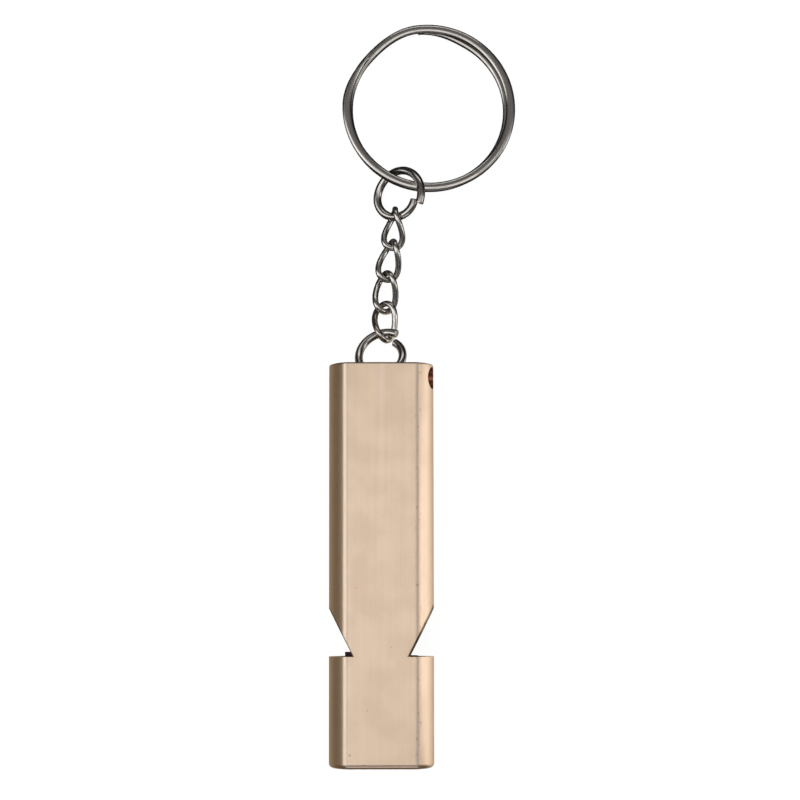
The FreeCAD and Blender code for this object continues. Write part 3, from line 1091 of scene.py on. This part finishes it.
@dataclass
class ChainLink:
    """A closed oval link, twisted so that its two ends stand across each other."""

    number: int
    pose: Pose
    length: float = 5.26
    width: float = 3.06
    wire: float = 0.7
    twist: float = 45.0
    steps: int = 112
    sides: int = 24

    def station(self, turn: float) -> Station:
        """Return the wire's station at a turn round the link.

        Args:
            turn: The turn in radians.

        Returns:
            The station.
        """
        half_length = (self.length - self.wire) / 2
        half_width = (self.width - self.wire) / 2
        lift = half_width / 2 * math.tan(math.radians(self.twist))
        centre = Vector((half_width * math.cos(turn), half_length * math.sin(turn),
                         lift * math.sin(2 * turn)))
        along = Vector((-half_width * math.sin(turn), half_length * math.cos(turn),
                        2 * lift * math.cos(2 * turn))).normalized()
        outward = (centre - along * centre.dot(along)).normalized()
        return Station(centre, outward, along.cross(outward))

    def build(self, material: bpy.types.Material) -> bpy.types.Object:
        """Skin the link and dress it.

        Args:
            material: The wire's finish.

        Returns:
            The finished link.
        """
        stations = [self.station(2 * math.pi * k / self.steps) for k in range(self.steps)]
        name = f"chain_link_{self.number}"
        section = circle_section(self.wire / 2, self.sides)
        made = skin_wire(f"twisted_link_{self.number}", stations, section, True, self.pose.matrix())
        dress(made, name, name, material)
        return made


@dataclass
class SplitKeyRing:
    """Two turns of half-flat spring wire that cross over once, the lower turn a little off centre.

    Angles are in degrees, and lengths in millimetres.
    """

    pose: Pose
    outer: float = 20.25
    wire_width: float = 1.05
    wire_thickness: float = 0.58
    fullness: float = 2.15
    sides: int = 36
    turn_gap: float = 0.06
    turn_step: float = 0.27
    turn_shift: float = 0.2
    end_at: float = 160.0
    crossover: float = 40.0
    end_gap: float = 3.0
    steps: int = 400
    cut_bevel: float = 0.05
    tip_angle: float = 38.0
    tip_width: float = 0.5

    def section(self) -> list[tuple[float, float]]:
        """Return the wire's section.

        Returns:
            The section's points.
        """
        return domed_section(self.wire_width, self.wire_thickness, self.fullness, self.sides)

    def sweep(self) -> float:
        """Return how far the wire winds.

        Returns:
            The angle in degrees.
        """
        return 720 - self.crossover - self.end_gap

    def tip(self, away: float) -> float:
        """Return how wide the wire is near its end, where it is ground down.

        Args:
            away: The angle from its end.

        Returns:
            The share of its full width.
        """
        return self.tip_width + (1 - self.tip_width) * ease(away / self.tip_angle)

    def station(self, angle: float) -> Station:
        """Return the wire's station at an angle from its upper end.

        Args:
            angle: The angle that the wire has wound so far.

        Returns:
            The station.
        """
        step = ease((angle - (360 - self.crossover)) / self.crossover)
        drop = self.wire_thickness + self.turn_gap
        radius = (self.outer - self.wire_width - self.turn_step) / 2 + self.turn_step * (0.5 - step)
        shift = Matrix.Rotation(math.radians(-self.end_at), 3, "Z") @ Vector((0, -step * self.turn_shift, 0))
        turn = math.radians(angle)
        outward = Vector((math.cos(turn), math.sin(turn), 0))
        upper, lower = self.tip(angle), self.tip(self.sweep() - angle)
        # the upper end is ground on its outside and the lower one on its inside
        radius += self.wire_width / 2 * (upper - lower)
        centre = shift + outward * radius + Vector((0, 0, drop * (0.5 - step)))
        return Station(centre, outward * upper * lower, Vector((0, 0, 1)))

    def build(self, material: bpy.types.Material) -> bpy.types.Object:
        """Skin the ring and dress it.

        Args:
            material: The wire's finish.

        Returns:
            The finished ring.
        """
        stations = [self.station(self.sweep() * k / self.steps) for k in range(self.steps + 1)]
        made = skin_wire("key_ring_coil", with_cut_ends(stations, self.cut_bevel), self.section(), False,
                         self.pose.matrix())
        dress(made, "split_key_ring", "split_key_ring", material)
        return made


@dataclass
class Hardware:
    """The rings and links from the whistle to the key ring, each where the CAD has it."""

    lower_ring: JumpRing = field(default_factory=lambda: JumpRing(
        "whistle_jump_ring", "body_jump_ring",
        Pose((0.185, 24.0944, 3.6542), (-0.832678, 0.280708, -0.01855, -0.476976)), -1.0, 0.26, (3.0, 3.0)))
    link_poses: tuple[Pose, ...] = (
        Pose((0.4248, 28.27, 1.798), (-0.987705, 0.144297, -0.059906, 0.005365)),
        Pose((0.5291, 31.8015, 1.2222), (-0.991958, 0.020381, 0.121258, 0.030018)),
        Pose((1.0028, 35.5266, 1.2846), (0.96254, 0.008407, -0.252153, -0.099325)),
        Pose((1.4865, 39.2512, 1.495), (0.919398, 0.007238, -0.391121, -0.040976)))
    upper_ring: JumpRing = field(default_factory=lambda: JumpRing(
        "key_jump_ring", "ring_jump_ring",
        Pose((1.953, 42.9029, 1.9017), (-0.961778, 0.021739, 0.255885, 0.095045)), -7.0, 0.4, (-11.0, -1.8)))
    key_ring: SplitKeyRing = field(default_factory=lambda: SplitKeyRing(
        Pose((5.5928, 53.4484, 1.6794), (0.343168, 0.000093, 0.053467, 0.937751))))

    def build(self, effects: Effects) -> None:
        """Build and dress every ring and link.

        Args:
            effects: The shared shader groups.
        """
        ring_finish = BrightWire("nickel_ring_wire").build(effects)
        chain_finish = BrightWire("nickel_chain_wire", (0.62, 0.59, 0.555, 1.0), (0.36, 0.32, 0.28, 1.0),
                                  0.19, 1400.0).build(effects)
        key_finish = BrightWire("polished_key_ring_steel", (0.60, 0.565, 0.53, 1.0), (0.37, 0.33, 0.295, 1.0),
                                0.18, 500.0, girth_of(self.key_ring.section())).build(effects)
        self.lower_ring.build(ring_finish)
        for number, pose in enumerate(self.link_poses, start=1):
            ChainLink(number, pose).build(chain_finish)
        self.upper_ring.build(ring_finish)
        self.key_ring.build(key_finish)


@dataclass
class InnerPieces:
    """The plugs and stoppers inside the bores, which keep their CAD shapes."""

    plug: InnerPiece = InnerPiece("dark_plug", (0.018, 0.009, 0.008, 1.0), (0.04, 0.016, 0.013, 1.0),
                                  metallic=0.0, roughness=0.5)
    stopper: InnerPiece = InnerPiece("turned_stopper", (0.42, 0.36, 0.29, 1.0), (0.52, 0.45, 0.36, 1.0),
                                     metallic=1.0, roughness=0.4)

    def build(self, effects: Effects) -> None:
        """Dress the CAD nodes.

        Args:
            effects: The shared shader groups.
        """
        for finish, names in ((self.plug, ("windway_plug_left", "windway_plug_right")),
                              (self.stopper, ("stopper_left", "stopper_right"))):
            material = finish.build(effects)
            for name in names:
                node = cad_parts[name]
                for socket in node.material_slots:
                    socket.material = material
                LOG.info("%s: dressed", name)


# Studio


@dataclass(frozen=True)
class SoftBox:
    """An oblong studio light, placed in millimetres and aimed at the whistle."""

    name: str
    place: tuple[float, float, float]
    size: tuple[float, float]
    radiance: float
    aim: tuple[float, float, float] = (0.0, 15.0, 4.0)

    def build(self) -> None:
        """Add the light. Its power follows from its size and its radiance."""
        data = bpy.data.lights.new(self.name, "AREA")
        data.shape = "RECTANGLE"
        data.size, data.size_y = (value * MM for value in self.size)
        data.energy = self.radiance * math.pi * data.size * data.size_y
        light = bpy.data.objects.new(self.name, data)
        bpy.context.scene.collection.objects.link(light)
        spot, aim = (Vector(value) * MM for value in (self.place, self.aim))
        turn = (aim - spot).to_track_quat("-Z", "Y").to_matrix().to_4x4()
        light.matrix_world = Matrix.Translation(spot) @ turn


@dataclass
class Studio:
    """Pale floor, soft boxes and the camera of the photograph.

    Places and spans on the floor are in millimetres, and angles in degrees. The mirrored tones are painted
    reflections: what metal sees of the floor, dark where they stand in for shaded floor and bright where lit.
    """

    boxes: tuple[SoftBox, ...] = (
        SoftBox("overhead", (-30, 10, 620), (300, 680), 0.98),
        SoftBox("right_fill", (350, 30, 350), (300, 520), 0.28),
        SoftBox("left_bank", (-400, 20, 300), (300, 520), 1.4),
        SoftBox("right_low", (420, 10, 50), (110, 460), 2.0),
        SoftBox("far_end", (0, 460, 240), (420, 110), 1.3),
        SoftBox("near_end", (40, -400, 200), (360, 110), 1.5),
    )
    world_low: float = 0.03
    world_high: float = 0.17
    world_limits: Span = (0.3, 0.95)
    floor_radius: float = 3000.0
    floor_sides: int = 96
    floor_drop: float = 0.02
    floor_tone: Colour = (0.82, 0.82, 0.82, 1.0)
    floor_cloud: Colour = (0.84, 0.84, 0.84, 1.0)
    floor_cloud_scale: float = 3.0
    floor_roughness: float = 0.9
    floor_specular: float = 0.1
    camera_white: float = 1.24
    camera_share: float = 0.75
    left_painted_reflection_span: Span = (-18.0, -6.0)
    right_painted_reflection_span: Span = (5.5, 20.0)
    middle: Span = (-1.0, 1.0)
    below_chain: Span = (25.0, 31.0)
    below_mouth: Span = (-25.0, -28.0)
    mirrored_chain: Colour = (0.035, 0.032, 0.03, 1.0)
    mirrored_mouth: Colour = (0.13, 0.095, 0.065, 1.0)
    mirrored_far_left: Colour = (0.165, 0.14, 0.10, 1.0)
    mirrored_near_left: Colour = (0.38, 0.32, 0.23, 1.0)
    mirrored_far_right: Colour = (1.35, 1.31, 1.24, 1.0)
    mirrored_near_right: Colour = (0.45, 0.40, 0.33, 1.0)
    camera_place: tuple[float, float, float] = (-0.8, -5.2, 300.0)
    camera_tilt: float = 4.67
    camera_pan: float = -0.57
    camera_roll: float = -0.03
    focal_pixels: float = 2579.0
    image_pixels: int = 800
    sensor_width: float = 36.0
    clip: Span = (5.0, 20000.0)

    def build(self) -> None:
        """Build the whole studio."""
        self.floor()
        self.world()
        for box in self.boxes:
            box.build()
        self.camera()

    def floor(self) -> None:
        """Lay a wide pale floor. It lets most of the white behind it through and still takes a faint shadow.

        A piece that a joint swings below it stays in sight, because from below the floor isn't there.
        """
        mesh = bmesh.new()
        bmesh.ops.create_circle(mesh, cap_ends=True, segments=self.floor_sides, radius=self.floor_radius * MM)
        floor = as_object("studio_floor", mesh, solid=False)
        floor.location.z = -self.floor_drop * MM
        material, graph, shader = new_material("pale_floor")
        place = graph.add("ShaderNodeTexCoord").outputs["Object"]
        cloud = graph.add("ShaderNodeTexNoise", {"Vector": place, "Scale": self.floor_cloud_scale,
                                                 "Detail": 2.0})
        graph.link(graph.mix(cloud.outputs["Fac"], self.floor_tone, self.floor_cloud),
                   shader.inputs["Base Color"])
        shader.inputs["Roughness"].default_value = self.floor_roughness
        shader.inputs["Specular IOR Level"].default_value = self.floor_specular
        rays = graph.add("ShaderNodeLightPath")
        # painted reflection: for glossy and transmission rays the floor glows in tones that stand in for its
        # shaded and lit parts
        mirrored = graph.add("ShaderNodeEmission", {"Color": self.mirrored_floor(graph, place)})
        clear = graph.add("ShaderNodeBsdfTransparent")
        in_metal = graph.math("MAXIMUM", rays.outputs["Is Glossy Ray"], rays.outputs["Is Transmission Ray"])
        lit = graph.add("ShaderNodeMixShader", {0: in_metal, 1: shader.outputs[0], 2: mirrored.outputs[0]})
        seen = graph.times(rays.outputs["Is Camera Ray"], self.camera_share)
        above = graph.add("ShaderNodeMixShader", {0: seen, 1: lit.outputs[0], 2: clear.outputs[0]})
        below = graph.add("ShaderNodeNewGeometry").outputs["Backfacing"]
        both = graph.add("ShaderNodeMixShader", {0: below, 1: above.outputs[0], 2: clear.outputs[0]})
        out = next(node for node in graph.tree.nodes if node.type == "OUTPUT_MATERIAL")
        graph.link(both.outputs[0], out.inputs["Surface"])
        floor.data.materials.append(material)

    def mirrored_floor(self, graph: Graph, place: bpy.types.NodeSocket) -> bpy.types.NodeSocket:
        """Make the painted reflections that the metal sees in the floor: shaded left and lit right of the
        whistle, dark under the chain.

        Args:
            graph: The floor material's graph.
            place: The position on the floor.

        Returns:
            The mirrored colour.
        """
        across, along, _ = graph.axes(place)
        left = graph.mix(graph.zone(across, self.left_painted_reflection_span), self.mirrored_far_left, self.mirrored_near_left)
        right = graph.mix(graph.zone(across, self.right_painted_reflection_span), self.mirrored_near_right,
                          self.mirrored_far_right)
        beside = graph.mix(graph.zone(across, self.middle), left, right)
        beside = graph.mix(graph.zone(along, self.below_mouth), beside, self.mirrored_mouth)
        return graph.mix(graph.zone(along, self.below_chain), beside, self.mirrored_chain)

    def world(self) -> None:
        """Light everything a little from above, less towards the horizon, and look white to the camera."""
        world = bpy.data.worlds.new("studio_world")
        world.use_nodes = True
        graph = Graph(world.node_tree)
        background = world.node_tree.nodes["Background"]
        background.inputs["Color"].default_value = (1.0, 1.0, 1.0, 1.0)
        _, _, up = graph.axes(graph.add("ShaderNodeTexCoord").outputs["Generated"])
        level = graph.math("MULTIPLY_ADD", graph.ramp(up, self.world_limits),
                           self.world_high - self.world_low, self.world_low)
        seen = graph.add("ShaderNodeLightPath").outputs["Is Camera Ray"]
        level = graph.math("MULTIPLY_ADD", seen, graph.math("SUBTRACT", self.camera_white, level), level)
        graph.link(level, background.inputs["Strength"])
        bpy.context.scene.world = world

    def camera(self) -> None:
        """Put the camera where the photograph was taken from."""
        data = bpy.data.cameras.new("photo_camera")
        data.sensor_width = self.sensor_width
        data.lens = data.sensor_width * self.focal_pixels / self.image_pixels
        data.clip_start, data.clip_end = (distance * MM for distance in self.clip)
        camera = bpy.data.objects.new("photo_camera", data)
        bpy.context.scene.collection.objects.link(camera)
        turn = Matrix.Rotation(math.radians(self.camera_tilt), 4, "X") \
            @ Matrix.Rotation(math.radians(self.camera_pan), 4, "Y") \
            @ Matrix.Rotation(math.radians(self.camera_roll), 4, "Z")
        camera.matrix_world = Matrix.Translation(Vector(self.camera_place) * MM) @ turn
        bpy.context.scene.camera = camera
        bpy.context.scene.view_settings.view_transform = "Standard"


def main() -> None:
    """Build every sub-assembly in order."""
    logging.basicConfig(level=logging.INFO, format="%(name)s %(message)s")
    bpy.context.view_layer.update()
    effects = Effects()
    WhistleBody().build(ChampagneAnodising().build(effects))
    InnerPieces().build(effects)
    Hardware().build(effects)
    Studio().build()


if __name__ == "__main__":
    main()
